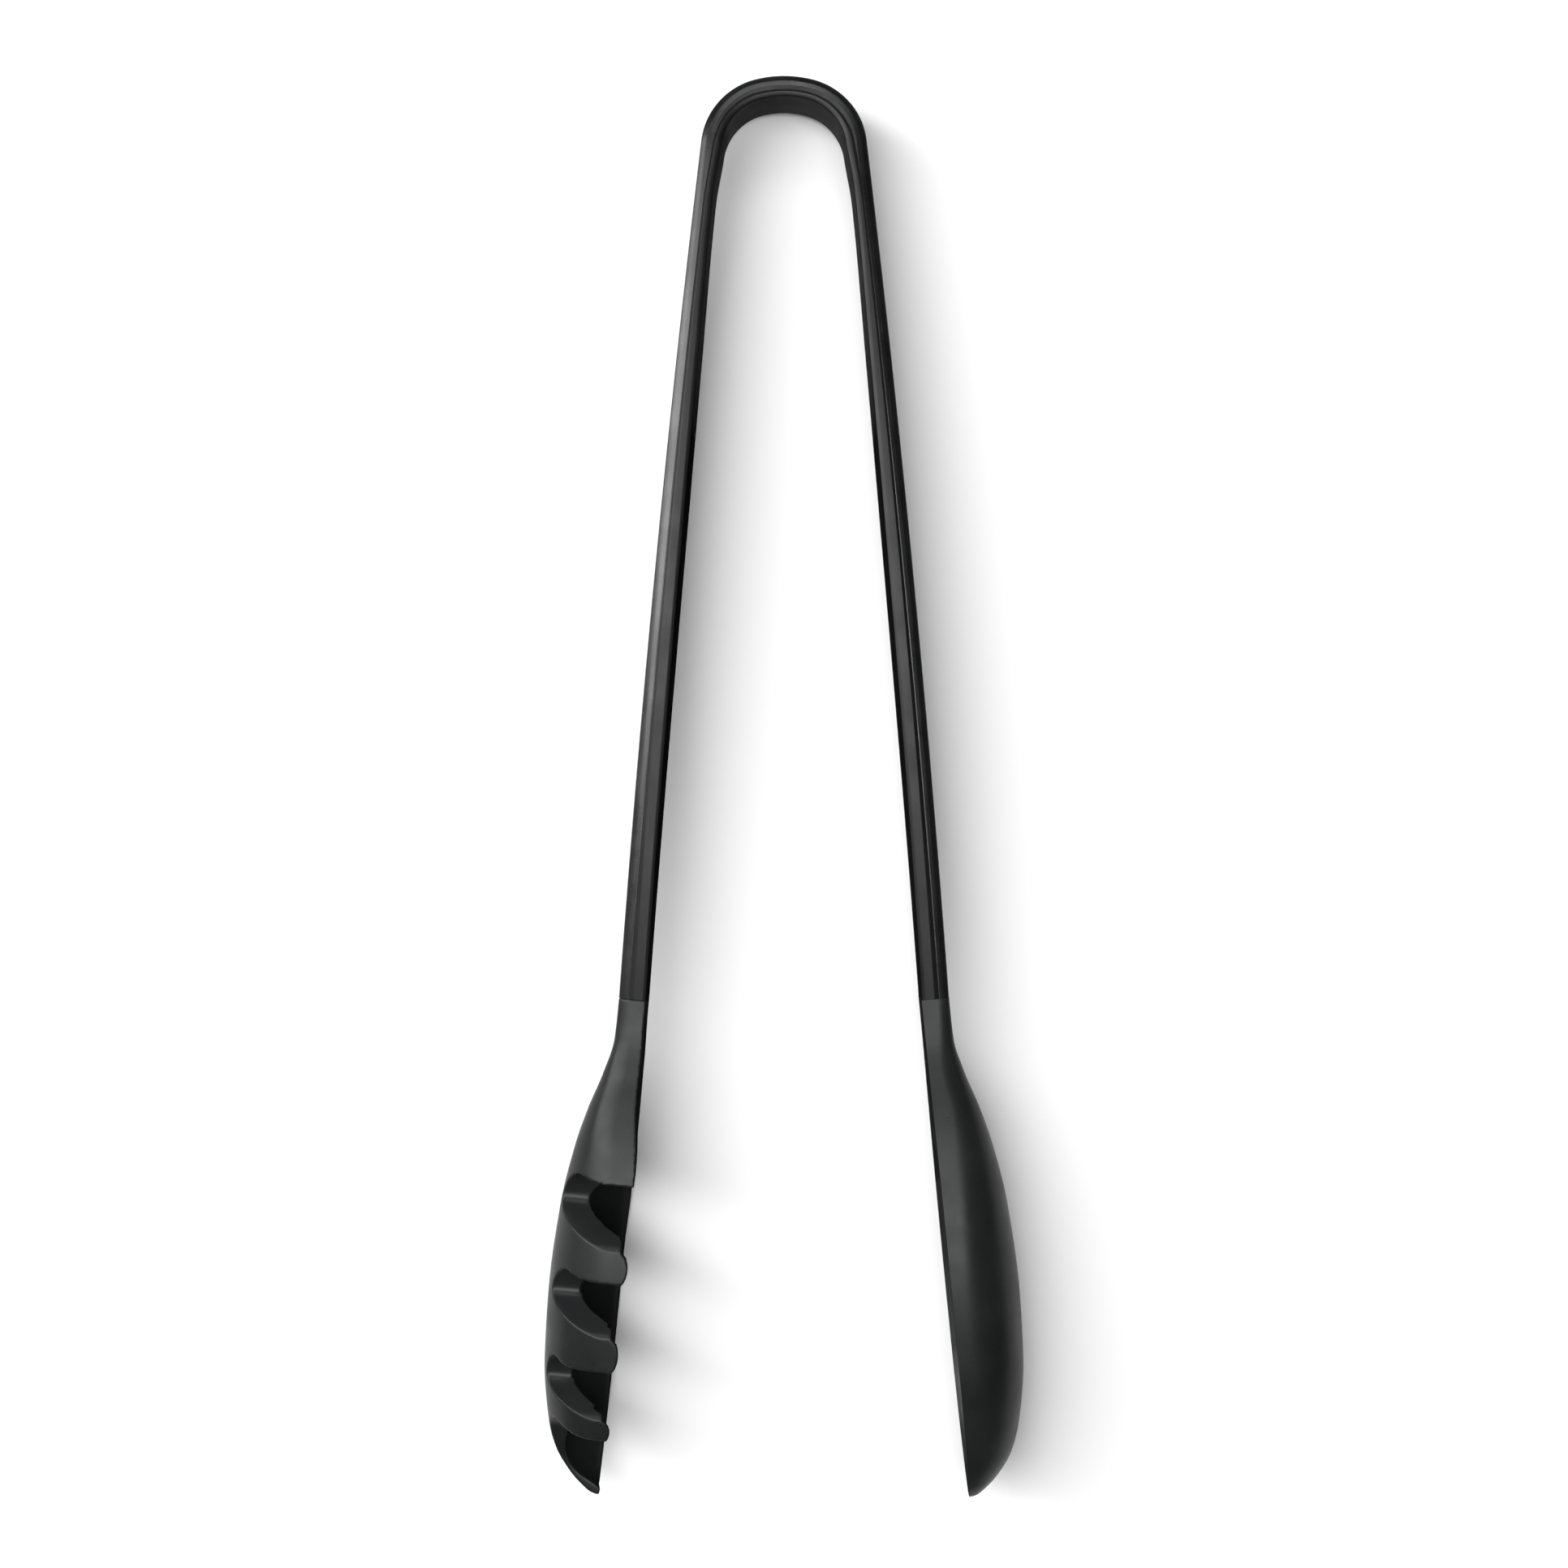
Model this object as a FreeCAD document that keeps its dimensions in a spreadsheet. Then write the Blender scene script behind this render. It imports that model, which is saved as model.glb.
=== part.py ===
import FreeCAD, Part
import math
import os

import Sketcher

# Spring loaded kitchen tongs: a U-shaped sprung handle with a toothed fork head on the
# left arm and a plain spoon head on the right arm.
#
# Frame: the tongs lie on their side. +X points from the fork to the spoon, +Y from the
# heads to the bow, +Z is up, across the width of the band. The origin is on the resting
# surface, below the middle of the bounding box.
#
# The band has three layers, counted inwards from its outer face: an outer shell, a strip of
# spring steel lying in the shell's channel, and an inner liner that closes the channel.

document = FreeCAD.newDocument("kitchen_tongs")
sheet = document.addObject("Spreadsheet::Sheet", "dims")

DIMENSIONS = (
    # the outline seen from above
    ("crown_y", 140.64),            # top of the bow
    ("crown_radius", 23.0),         # outer face, middle of the bow
    ("crown_half_angle", 14.0),
    ("shoulder_radius", 14.25),     # outer face, tighter bend into each arm
    ("arm_angle_top", 6.6),         # lean of the arm away from the Y axis, at the bow
    ("arm_angle_seam", 4.4),        # the same at the head
    ("arm_curve_radius", 4400.0),   # the arms bow outwards very slightly
    ("arm_inner_radius", 5000.0),   # their inner faces a little less
    ("seam_y", -40.8),              # where the handle meets the heads
    # layers of the band
    ("shell_rim", 2.0),             # shell thickness along both edges
    ("shell_wall", 1.0),            # shell thickness behind the strip
    ("bow_thickness", 4.0),         # all layers, round the bow
    ("seam_thickness", 5.45),       # all layers, at the heads
    ("channel_half_width", 4.4),
    ("strip_thickness", 0.94),
    ("strip_gap", 0.03),            # play between the strip and the channel floor
    ("strip_half_width", 4.3),
    # width of the band, up from the resting surface
    ("middle_height", 14.0),        # the plane that the band is centred on
    ("crown_half_width", 7.5),
    ("shoulder_half_width", 8.4),
    ("seam_half_width", 7.2),
    ("width_curve_radius", 1040.0),  # the arms are widest at the grip
    ("liner_inset", 0.4),
    ("shell_edge_radius", 0.8),
    ("liner_edge_radius", 0.5),
    # heads
    ("head_tilt", 5.6),             # lean of the mouth plane away from the Y axis
    ("head_wall", 3.2),             # thickness of the back of each bowl
    ("rim_wall", 0.9),              # thickness of each bowl at its rim
    ("rim_stock", 2.5),             # how far the blank stands past the mouth plane
    ("tang_length", 16.0),          # length of strip that is held in each head
    ("socket_play", 0.05),
    ("pin_radius", 1.1),
    ("pin_first", 5.0),
    ("pin_pitch", 6.0),
    ("pin_start", 1.45),            # from the mouth plane to the buried end of a pin
    ("pin_length", 3.4),
    # slots and teeth of the fork
    ("slot_edge_drop", 1.4),        # from the top of the bowl to the end of the straight edge
    ("slot_lean", 1.6),             # how far a slot reaches back under its own edge
    ("slot_lean_radius", 5.0),
    ("slot_floor_radius", 4.0),
    ("slot_peak", 2.8),             # height of that corner above the slot's floor
    ("slot_run", 3.8),              # from the slot's edge to the lowest point of its floor
    ("flank_run", 3.2),             # from there to where the flank runs straight
    ("flank_rise", 2.6),
    ("flank_top_rise", 7.4),
    ("tip_curve_radius", 12.0),
    ("tip_start", 86.0),            # beyond this only the far half of the bowl is left
    ("tooth_crown", 1.5),           # height of a tooth's rounded end
    ("tooth_tip_a", 2.1),           # how far each tooth stands past the mouth plane
    ("tooth_tip_b", 1.9),
    ("tooth_tip_c", 1.6),
    ("near_rim_rise", 1.3),         # the same for the rim, where the first slot starts
)

# Cross-sections of a head, from the handle to the tip: distance along the mouth plane,
# depth behind it, half width, corner radius.
SECTIONS = (
    ("a", 0.0, 5.45, 7.2, 1.2),
    ("b", 8.0, 5.5, 7.5, 1.6),
    ("c", 15.0, 7.05, 8.7, 3.4),
    ("d", 22.0, 9.35, 10.2, 5.4),
    ("e", 30.0, 11.35, 11.7, 7.6),
    ("f", 42.0, 13.15, 13.2, 10.0),
    ("g", 57.0, 13.9, 14.0, 11.5),
    ("h", 72.0, 13.4, 13.4, 11.1),
    ("i", 84.0, 11.6, 11.2, 9.7),
    ("j", 91.0, 9.3, 8.4, 7.5),
    ("k", 95.6, 6.0, 5.6, 4.9),
    ("l", 99.5, 1.3, 1.8, 1.1),
)

# The scoop of a bowl: its first two sections, before it follows the outside at a wall's
# distance, and its last one, inside the tip.
SCOOP = (
    ("scoop_start", 24.0, 0.3, 5.5, 2.4),
    ("scoop_slope", 33.0, 6.4, 9.6, 7.0),
    ("scoop_end", 98.1, 0.3, 0.9, 0.6),
)

# Slots in the near wall of the fork: rim start, rim end, and height of the slot's floor
# above the middle plane.
SLOTS = (
    ("slot_a", 36.4, 49.0, 5.5),
    ("slot_b", 55.1, 66.0, 7.1),
    ("slot_c", 72.3, 82.4, 5.9),
)


def fill_sheet():
    """Write every driving dimension into the sheet, with its alias."""
    cells = list(DIMENSIONS)
    for name, along, depth, half_width, corner in SECTIONS + SCOOP:
        cells += [
            ("along_" + name, along),
            ("depth_" + name, depth),
            ("half_width_" + name, half_width),
            ("corner_" + name, corner),
        ]
    for name, start, end, floor in SLOTS:
        cells += [("start_" + name, start), ("end_" + name, end), ("floor_" + name, floor)]
    for row, (alias, value) in enumerate(cells, start=1):
        sheet.set("A%d" % row, alias)
        sheet.set("B%d" % row, str(value))
        sheet.setAlias("B%d" % row, alias)
    document.recompute()


def value(expression):
    """The number that an expression over the sheet's cells gives."""
    return float(sheet.evalExpression(str(expression)))


# ---------------------------------------------------------------- sketches and features


def new_body(label):
    body = document.addObject("PartDesign::Body", label)
    body.Label = label
    body.setExpression("Placement.Base.z", "dims.middle_height")
    return body


def new_sketch(body, role, offset="0"):
    """A sketch on one of the body's origin planes, moved along its normal by offset."""
    sketch = body.newObject("Sketcher::SketchObject", "sketch")
    plane = [item for item in body.Origin.OriginFeatures if item.Role == role][0]
    sketch.AttachmentSupport = [(plane, "")]
    sketch.MapMode = "FlatFace"
    sketch.setExpression("AttachmentOffset.Base.z", offset)
    document.recompute()
    return sketch


def bind(sketch, kind, *details, size):
    """Add a dimension to a sketch and bind it to an expression."""
    index = sketch.addConstraint(Sketcher.Constraint(kind, *details, value(size)))
    sketch.setExpression("Constraints[%d]" % index, str(size))


def arc_between(first, last, radius, side):
    """The short arc from first to last whose centre is left (1) or right (-1) of the way."""
    chord = last - first
    left = FreeCAD.Vector(-chord.y, chord.x, 0).normalize()
    reach = math.sqrt(radius ** 2 - (chord.Length / 2) ** 2)
    centre = first + chord / 2 + left * (side * reach)
    return Part.Arc(first, centre - left * (side * radius), last)


def draw_outline(sketch, corners):
    """Draw a closed outline. A corner is (x, y) where a straight edge leaves it, or
    (x, y, radius, side) where an arc does; x, y and radius are expressions."""
    count = len(corners)
    points = [FreeCAD.Vector(value(c[0]), value(c[1]), 0) for c in corners]
    edges, ends = [], []
    for number, corner in enumerate(corners):
        first, last = points[number], points[(number + 1) % count]
        if len(corner) == 4:
            curve = arc_between(first, last, value(corner[2]), corner[3])
        else:
            curve = Part.LineSegment(first, last)
        edge = sketch.addGeometry(curve, False)
        swapped = (sketch.getPoint(edge, 1) - first).Length > (sketch.getPoint(edge, 2) - first).Length
        edges.append(edge)
        ends.append((2, 1) if swapped else (1, 2))
    for number, corner in enumerate(corners):
        after = (number + 1) % count
        sketch.addConstraint(Sketcher.Constraint(
            "Coincident", edges[number], ends[number][1], edges[after], ends[after][0]))
        bind(sketch, "DistanceX", edges[number], ends[number][0], size=corner[0])
        bind(sketch, "DistanceY", edges[number], ends[number][0], size=corner[1])
        if len(corner) == 4:
            bind(sketch, "Radius", edges[number], size=corner[2])


def draw_circle(sketch, x, y, radius):
    centre = FreeCAD.Vector(value(x), value(y), 0)
    circle = sketch.addGeometry(Part.Circle(centre, FreeCAD.Vector(0, 0, 1), value(radius)), False)
    bind(sketch, "DistanceX", circle, 3, size=x)
    bind(sketch, "DistanceY", circle, 3, size=y)
    bind(sketch, "Radius", circle, size=radius)


def extrude(body, kind, sketch, length, side="Symmetric", reverse=False):
    """Pad or pocket a sketch, and stop if a pocket takes nothing away."""
    before = body.Shape.Volume if kind == "Pocket" else 0.0
    feature = body.newObject("PartDesign::" + kind, kind.lower())
    feature.Profile = sketch
    feature.SideType = side
    feature.Reversed = reverse
    feature.setExpression("Length", str(length))
    document.recompute()
    if kind == "Pocket" and body.Shape.Volume > before - 0.01:
        raise RuntimeError("a pocket of %s cuts nothing" % body.Label)
    return feature


def loft(body, kind, sketches):
    feature = body.newObject("PartDesign::" + kind, kind)
    feature.Profile = sketches[0]
    feature.Sections = sketches[1:]
    document.recompute()
    return feature


def round_edges(body, radius, chosen):
    """Fillet the edges of the body's last feature whose midpoint passes the test."""
    base = body.Tip
    names = []
    for number, edge in enumerate(base.Shape.Edges, start=1):
        middle = edge.valueAt((edge.FirstParameter + edge.LastParameter) / 2)
        if chosen(edge, middle):
            names.append("Edge%d" % number)
    fillet = body.newObject("PartDesign::Fillet", "fillet")
    fillet.Base = (base, names)
    fillet.setExpression("Radius", radius)
    document.recompute()


# ---------------------------------------------------------------- path of the band

CROWN_ANGLE = "(dims.crown_half_angle * 1 deg)"
TOP_ANGLE = "(dims.arm_angle_top * 1 deg)"
CHORD_ANGLE = "((dims.arm_angle_top + dims.arm_angle_seam) / 2 * 1 deg)"
TILT = "(dims.head_tilt * 1 deg)"
RADIUS_STEP = "(dims.crown_radius - dims.shoulder_radius)"


def crown_end(depth, side):
    """Where the crown arc meets the shoulder arc, at a depth below the outer face."""
    x = "%d * (dims.crown_radius - %s) * sin(%s)" % (side, depth, CROWN_ANGLE)
    y = "dims.crown_y - dims.crown_radius + (dims.crown_radius - %s) * cos(%s)" % (depth, CROWN_ANGLE)
    return x, y


def arm_start(depth, side):
    """Where the shoulder arc meets the arm."""
    x = "%d * (%s * sin(%s) + (dims.shoulder_radius - %s) * cos(%s))" % (
        side, RADIUS_STEP, CROWN_ANGLE, depth, TOP_ANGLE)
    y = "dims.crown_y - dims.crown_radius + %s * cos(%s) + (dims.shoulder_radius - %s) * sin(%s)" % (
        RADIUS_STEP, CROWN_ANGLE, depth, TOP_ANGLE)
    return x, y


def arm_end(depth, side):
    """Where the arm meets its head, on the plane at right angles to the mouth plane."""
    start_x, start_y = arm_start("0", 1)
    outer_x = "(%s + (%s - dims.seam_y) * tan(%s))" % (start_x, start_y, CHORD_ANGLE)
    x = "%d * (%s - %s * cos(%s))" % (side, outer_x, depth, TILT)
    y = "dims.seam_y - %s * sin(%s)" % (depth, TILT)
    return x, y


def tang_end(depth, side):
    """The end of the strip inside a head, straight on along the head."""
    x, y = arm_end(depth, side)
    x = "%s + %d * dims.tang_length * sin(%s)" % (x, side, TILT)
    y = "%s - dims.tang_length * cos(%s)" % (y, TILT)
    return x, y


def crown(depth):
    return "dims.crown_radius - %s" % depth


def shoulder(depth):
    return "dims.shoulder_radius - %s" % depth


def arm(depth):
    return "dims.arm_curve_radius - %s" % depth


def bow_outline(outer, inner):
    """A layer of the bow between two depths, from the left shoulder round to the right."""
    return [
        arm_start(outer, -1) + (shoulder(outer), -1),
        crown_end(outer, -1) + (crown(outer), -1),
        crown_end(outer, 1) + (shoulder(outer), -1),
        arm_start(outer, 1),
        arm_start(inner, 1) + (shoulder(inner), 1),
        crown_end(inner, 1) + (crown(inner), 1),
        crown_end(inner, -1) + (shoulder(inner), 1),
        arm_start(inner, -1),
    ]


def arm_outline(side, outer, inner_start, inner_end):
    """A layer of one arm. Its inner depth may grow from the bow to the head."""
    even = inner_start == inner_end
    inner_radius = arm(inner_end) if even else "dims.arm_inner_radius"
    return [
        arm_start(outer, side) + (arm(outer), -side),
        arm_end(outer, side),
        arm_end(inner_end, side) + (inner_radius, side),
        arm_start(inner_start, side),
    ]


def strip_outline(outer, inner):
    """The whole strip: tang, arm, bow, arm, tang, and back along its inner face."""
    return [
        tang_end(outer, -1),
        arm_end(outer, -1) + (arm(outer), -1),
        arm_start(outer, -1) + (shoulder(outer), -1),
        crown_end(outer, -1) + (crown(outer), -1),
        crown_end(outer, 1) + (shoulder(outer), -1),
        arm_start(outer, 1) + (arm(outer), -1),
        arm_end(outer, 1),
        tang_end(outer, 1),
        tang_end(inner, 1),
        arm_end(inner, 1) + (arm(inner), 1),
        arm_start(inner, 1) + (shoulder(inner), 1),
        crown_end(inner, 1) + (crown(inner), 1),
        crown_end(inner, -1) + (shoulder(inner), 1),
        arm_start(inner, -1) + (arm(inner), 1),
        arm_end(inner, -1),
        tang_end(inner, -1),
    ]


# ---------------------------------------------------------------- width of the band

MARGIN = 5.0    # how far a cutting outline runs past what it cuts


def trim_width(body, outline):
    """Cut away everything outside a closed outline drawn on the YZ plane."""
    reach = "(dims.middle_height + %s)" % MARGIN
    top, bottom = "dims.crown_y + %s" % MARGIN, "dims.seam_y - %s" % (2 * MARGIN)
    sketch = new_sketch(body, "YZ_Plane")
    draw_outline(sketch, [(top, reach), (top, "-" + reach), (bottom, "-" + reach), (bottom, reach)])
    draw_outline(sketch, outline)
    extrude(body, "Pocket", sketch, "4 * dims.crown_y")


def bow_width(inset):
    """The bow's outline across its width, a little longer than the bow itself."""
    low_y = arm_start("dims.bow_thickness", 1)[1] + " - 1"
    top_half = "(dims.crown_half_width - %s)" % inset
    low_half = "(dims.shoulder_half_width - %s)" % inset
    return [
        ("dims.crown_y + 1", top_half),
        (low_y, low_half),
        (low_y, "-" + low_half),
        ("dims.crown_y + 1", "-" + top_half),
    ]


def arm_width(inset):
    """An arm's outline across its width, widest at the grip."""
    top_y = arm_start("0", 1)[1]
    top_half = "(dims.shoulder_half_width - %s)" % inset
    seam_half = "(dims.seam_half_width - %s)" % inset
    end_y = "dims.seam_y - 2"
    return [
        (top_y, top_half, "dims.width_curve_radius", 1),
        (end_y, seam_half),
        (end_y, "-" + seam_half, "dims.width_curve_radius", 1),
        (top_y, "-" + top_half),
    ]


def face_curve(corners):
    """The open curve through a list of corners, for telling which face an edge is on."""
    edges = []
    for corner, following in zip(corners, corners[1:]):
        first = FreeCAD.Vector(value(corner[0]), value(corner[1]), 0)
        last = FreeCAD.Vector(value(following[0]), value(following[1]), 0)
        if len(corner) == 4:
            edges.append(arc_between(first, last, value(corner[2]), corner[3]).toShape())
        else:
            edges.append(Part.LineSegment(first, last).toShape())
    return Part.Compound(edges)


def round_face(body, radius, corners):
    """Round the two long edges of the face that follows these corners."""
    curve = face_curve(corners)
    top = value("dims.channel_half_width") + 1.5

    def chosen(edge, middle):
        flat = FreeCAD.Vector(middle.x, middle.y, 0)
        on_face = curve.distToShape(Part.Vertex(flat))[0] < 0.01
        ends = [v.Point.z for v in edge.Vertexes]
        level = len(ends) == 2 and ends[0] * ends[1] > 0
        return on_face and level and abs(middle.z) > top and edge.Length > 3

    round_edges(body, radius, chosen)


# ---------------------------------------------------------------- layers


def make_shell(label, outline, inner_outline, width, outer_face):
    """A channel: full thickness along both rims, thin behind the strip."""
    body = new_body(label)
    sketch = new_sketch(body, "XY_Plane")
    draw_outline(sketch, outline)
    extrude(body, "Pad", sketch, "2 * dims.middle_height")
    sketch = new_sketch(body, "XY_Plane")
    draw_outline(sketch, inner_outline)
    extrude(body, "Pocket", sketch, "2 * dims.channel_half_width")
    trim_width(body, width)
    round_face(body, "dims.shell_edge_radius", outer_face)
    return body


def make_liner(label, outline, width, inner_face):
    body = new_body(label)
    sketch = new_sketch(body, "XY_Plane")
    draw_outline(sketch, outline)
    extrude(body, "Pad", sketch, "2 * dims.middle_height")
    trim_width(body, width)
    round_face(body, "dims.liner_edge_radius", inner_face)
    return body


def make_bow():
    rim, wall, thickness = "dims.shell_rim", "dims.shell_wall", "dims.bow_thickness"
    outer = bow_outline("0", rim)
    shell = make_shell("bow_shell", outer, bow_outline(wall, rim), bow_width("0"), outer[:4])
    layer = bow_outline(rim, thickness)
    liner = make_liner("bow_liner", layer, bow_width("dims.liner_inset"), layer[4:])
    return [shell, liner]


def make_arm(name, side):
    rim, wall = "dims.shell_rim", "dims.shell_wall"
    outer = arm_outline(side, "0", rim, rim)
    shell = make_shell(
        name + "_arm_shell", outer, arm_outline(side, wall, rim, rim), arm_width("0"), outer[:2])
    layer = arm_outline(side, rim, "dims.bow_thickness", "dims.seam_thickness")
    liner = make_liner(
        name + "_arm_liner", layer, arm_width("dims.liner_inset"), layer[2:])
    return [shell, liner]


def pin_place(number):
    return "(dims.pin_first + %d * dims.pin_pitch)" % number


def make_strip():
    """One strip of spring steel, bent round the bow, with two holes in each tang."""
    body = new_body("spring_strip")
    outer = "(dims.shell_wall + dims.strip_gap)"
    inner = "(dims.shell_wall + dims.strip_gap + dims.strip_thickness)"
    sketch = new_sketch(body, "XY_Plane")
    draw_outline(sketch, strip_outline(outer, inner))
    extrude(body, "Pad", sketch, "2 * dims.strip_half_width")
    sketch = new_sketch(body, "YZ_Plane")
    middle = arm_end("(dims.shell_wall + dims.strip_gap + dims.strip_thickness / 2)", 1)[1]
    for number in range(2):
        y = "%s - %s * cos(%s)" % (middle, pin_place(number), TILT)
        draw_circle(sketch, y, "0", "dims.pin_radius + 0.05")
    extrude(body, "Pocket", sketch, "4 * dims.crown_y")
    return body


# ---------------------------------------------------------------- heads


def place_head(item, side, extra=FreeCAD.Placement()):
    """Put a head's own frame (along the mouth plane, behind it, across it) in place."""
    tilt = math.radians(value("dims.head_tilt"))
    along = FreeCAD.Vector(side * math.sin(tilt), -math.cos(tilt), 0)
    behind = FreeCAD.Vector(side * math.cos(tilt), math.sin(tilt), 0)
    x, y = arm_end("dims.seam_thickness", side)
    rotation = FreeCAD.Rotation(along, behind, along.cross(behind), "XYZ")
    base = FreeCAD.Vector(value(x), value(y), value("dims.middle_height"))
    item.Placement = FreeCAD.Placement(base, rotation).multiply(extra)
    if extra.isIdentity():
        item.setExpression("Placement.Base.x", x)
        item.setExpression("Placement.Base.y", y)
        item.setExpression("Placement.Base.z", "dims.middle_height")


def draw_section(sketch, depth, half_width, corner, stock):
    """A D-shaped section: flat towards the mouth, round-cornered behind."""
    draw_outline(sketch, [
        ("-" + stock, "-(%s)" % half_width),
        ("%s - (%s)" % (depth, corner), "-(%s)" % half_width, corner, 1),
        (depth, "-(%s - (%s))" % (half_width, corner)),
        (depth, "%s - (%s)" % (half_width, corner), corner, 1),
        ("%s - (%s)" % (depth, corner), half_width),
        ("-" + stock, half_width),
    ])


def blank_sections(body):
    sketches = []
    for name, *_ in SECTIONS:
        sketch = new_sketch(body, "YZ_Plane", "dims.along_" + name)
        draw_section(sketch, "dims.depth_" + name, "dims.half_width_" + name,
                     "dims.corner_" + name, "dims.rim_stock")
        sketches.append(sketch)
    return sketches


def scoop_sections(body):
    """The hollow: a shallow start, then the outside less its walls, then the tip."""
    sketches = []
    for name in ("scoop_start", "scoop_slope", "f", "g", "h", "i", "j", "k", "scoop_end"):
        sketch = new_sketch(body, "YZ_Plane", "dims.along_" + name)
        depth, half_width, corner = ("dims.%s_%s" % (key, name)
                                     for key in ("depth", "half_width", "corner"))
        if len(name) == 1:
            depth += " - dims.head_wall"
            half_width += " - dims.rim_wall"
            corner = "(%s - dims.rim_wall)" % corner
            if name == "k":
                depth = "(dims.depth_k - dims.head_wall * 0.6)"
                corner = "(dims.corner_k - dims.head_wall * 0.6)"
        draw_section(sketch, depth, "(%s)" % half_width, corner, "(2 * dims.rim_stock)")
        sketches.append(sketch)
    return sketches


def cut_mouth(body, outline, side="Symmetric", reverse=False):
    """Trim the stock in front of the mouth plane, to an outline on the XY plane."""
    sketch = new_sketch(body, "XY_Plane")
    draw_outline(sketch, outline)
    length = "4 * dims.middle_height" if side == "Symmetric" else "2 * dims.middle_height"
    extrude(body, "Pocket", sketch, length, side, reverse)


def straight_mouth():
    front = "-2 * dims.rim_stock"
    end = "dims.along_l + %s" % MARGIN
    return [("-1", front), (end, front), (end, "0"), ("-1", "0")]


def cut_socket(body, side):
    """The slot that holds the strip's tang, and the cavities of its two pins."""
    outer = "(dims.seam_thickness - dims.shell_wall - dims.strip_gap + dims.socket_play)"
    inner = ("(dims.seam_thickness - dims.shell_wall - dims.strip_gap"
             " - dims.strip_thickness - dims.socket_play)")
    half = "(dims.strip_half_width + dims.socket_play)"
    length = "(dims.tang_length + dims.socket_play)"
    sketch = new_sketch(body, "XY_Plane")
    draw_outline(sketch, [("-1", inner), (length, inner), (length, outer), ("-1", outer)])
    extrude(body, "Pocket", sketch, "2 * " + half)
    sketch = new_sketch(body, "XZ_Plane", "-dims.pin_start")
    for number in range(2):
        draw_circle(sketch, pin_place(number), "0", "dims.pin_radius")
    extrude(body, "Pocket", sketch, "dims.pin_length", "One side", False)


def make_head_blank(label, side):
    body = new_body(label)
    place_head(body, side)
    loft(body, "AdditiveLoft", blank_sections(body))
    return body


def make_spoon_head():
    body = make_head_blank("spoon_head", 1)
    cut_mouth(body, straight_mouth())
    loft(body, "SubtractiveLoft", scoop_sections(body))
    cut_socket(body, 1)
    return body


def toothed_mouth():
    """The near rim of the fork: it rises to the first slot, and each tooth that stands
    between two slots has a rounded end."""
    front = "-2 * dims.rim_stock"
    end = "dims.along_l + %s" % MARGIN
    corners = [("-1", front), (end, front), (end, "0")]
    teeth = (
        ("dims.end_slot_c", "dims.tip_start", "dims.tooth_tip_c"),
        ("dims.end_slot_b", "dims.start_slot_c", "dims.tooth_tip_b"),
        ("dims.end_slot_a", "dims.start_slot_b", "dims.tooth_tip_a"),
    )
    for start, stop, tip in teeth:
        base = "-(%s - dims.tooth_crown)" % tip
        radius = "((%s - %s + 1)^2 / 4 + dims.tooth_crown^2) / (2 * dims.tooth_crown)" % (stop, start)
        corners += [(stop + " + 0.5", base, radius, -1), (start + " - 0.5", base)]
    corners += [
        ("dims.start_slot_a + 0.5", "-dims.near_rim_rise"),
        ("dims.along_scoop_start", "0"),
        ("-1", "0"),
    ]
    return corners


def slot_outline(name):
    """A slot seen from the mouth: it leans back from its edge to a peak, its floor falls
    away in a round hollow, and its flank sweeps up to the next tooth."""
    start, end, floor = ("dims.%s_%s" % (key, name) for key in ("start", "end", "floor"))
    above = "-(dims.middle_height + 2)"
    return [
        (start, above),
        (start, "-(dims.half_width_g - dims.slot_edge_drop)"),
        (start + " - dims.slot_lean", "-(%s + dims.slot_peak)" % floor, "dims.slot_lean_radius", -1),
        (start + " + dims.slot_run", "-" + floor, "dims.slot_floor_radius", -1),
        (start + " + dims.slot_run + dims.flank_run", "-(%s + dims.flank_rise)" % floor),
        (end, "-(%s + dims.flank_top_rise)" % floor),
        (end, above),
    ]


def tip_outline():
    """The last slot takes the whole near half of the bowl, out to the tip."""
    start = "dims.tip_start"
    end = "dims.along_l + %s" % MARGIN
    above = "-(dims.middle_height + 2)"
    return [
        (start, above),
        (start + " + 0.8", "-dims.floor_slot_b", "dims.tip_curve_radius", 1),
        (start + " - 0.8", "0"),
        (end, "0"),
        (end, above),
    ]


def make_fork_head():
    body = make_head_blank("fork_head", -1)
    cut_mouth(body, straight_mouth(), "One side", True)
    cut_mouth(body, toothed_mouth(), "One side", False)
    loft(body, "SubtractiveLoft", scoop_sections(body))
    for outline in [slot_outline(name) for name, *_ in SLOTS] + [tip_outline()]:
        sketch = new_sketch(body, "XZ_Plane")
        draw_outline(sketch, outline)
        extrude(body, "Pocket", sketch, "4 * dims.middle_height")
    cut_socket(body, -1)
    return body


def make_pins(label, side):
    """Two steel pins that lock the strip's tang in a head, as one group of solids."""
    group = document.addObject("Part::MultiFuse", label)
    group.Label = label
    pins = []
    for number in range(2):
        pin = document.addObject("Part::Cylinder", label + "_pin")
        pin.setExpression("Radius", "dims.pin_radius")
        pin.setExpression("Height", "dims.pin_length")
        upright = FreeCAD.Rotation(FreeCAD.Vector(1, 0, 0), -90)
        base = FreeCAD.Vector(value(pin_place(number)), value("dims.pin_start"), 0)
        place_head(pin, side, FreeCAD.Placement(base, upright))
        pins.append(pin)
    group.Shapes = pins
    document.recompute()
    return group


# ---------------------------------------------------------------- assembly and export


def check(parts):
    for item in document.Objects:
        if "Invalid" in item.State or "Error" in item.State:
            raise RuntimeError("%s is %s" % (item.Label, item.State))
    for part in parts:
        if part.Shape.isNull() or not part.Shape.isValid():
            raise RuntimeError("%s has no valid shape" % part.Label)


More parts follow.
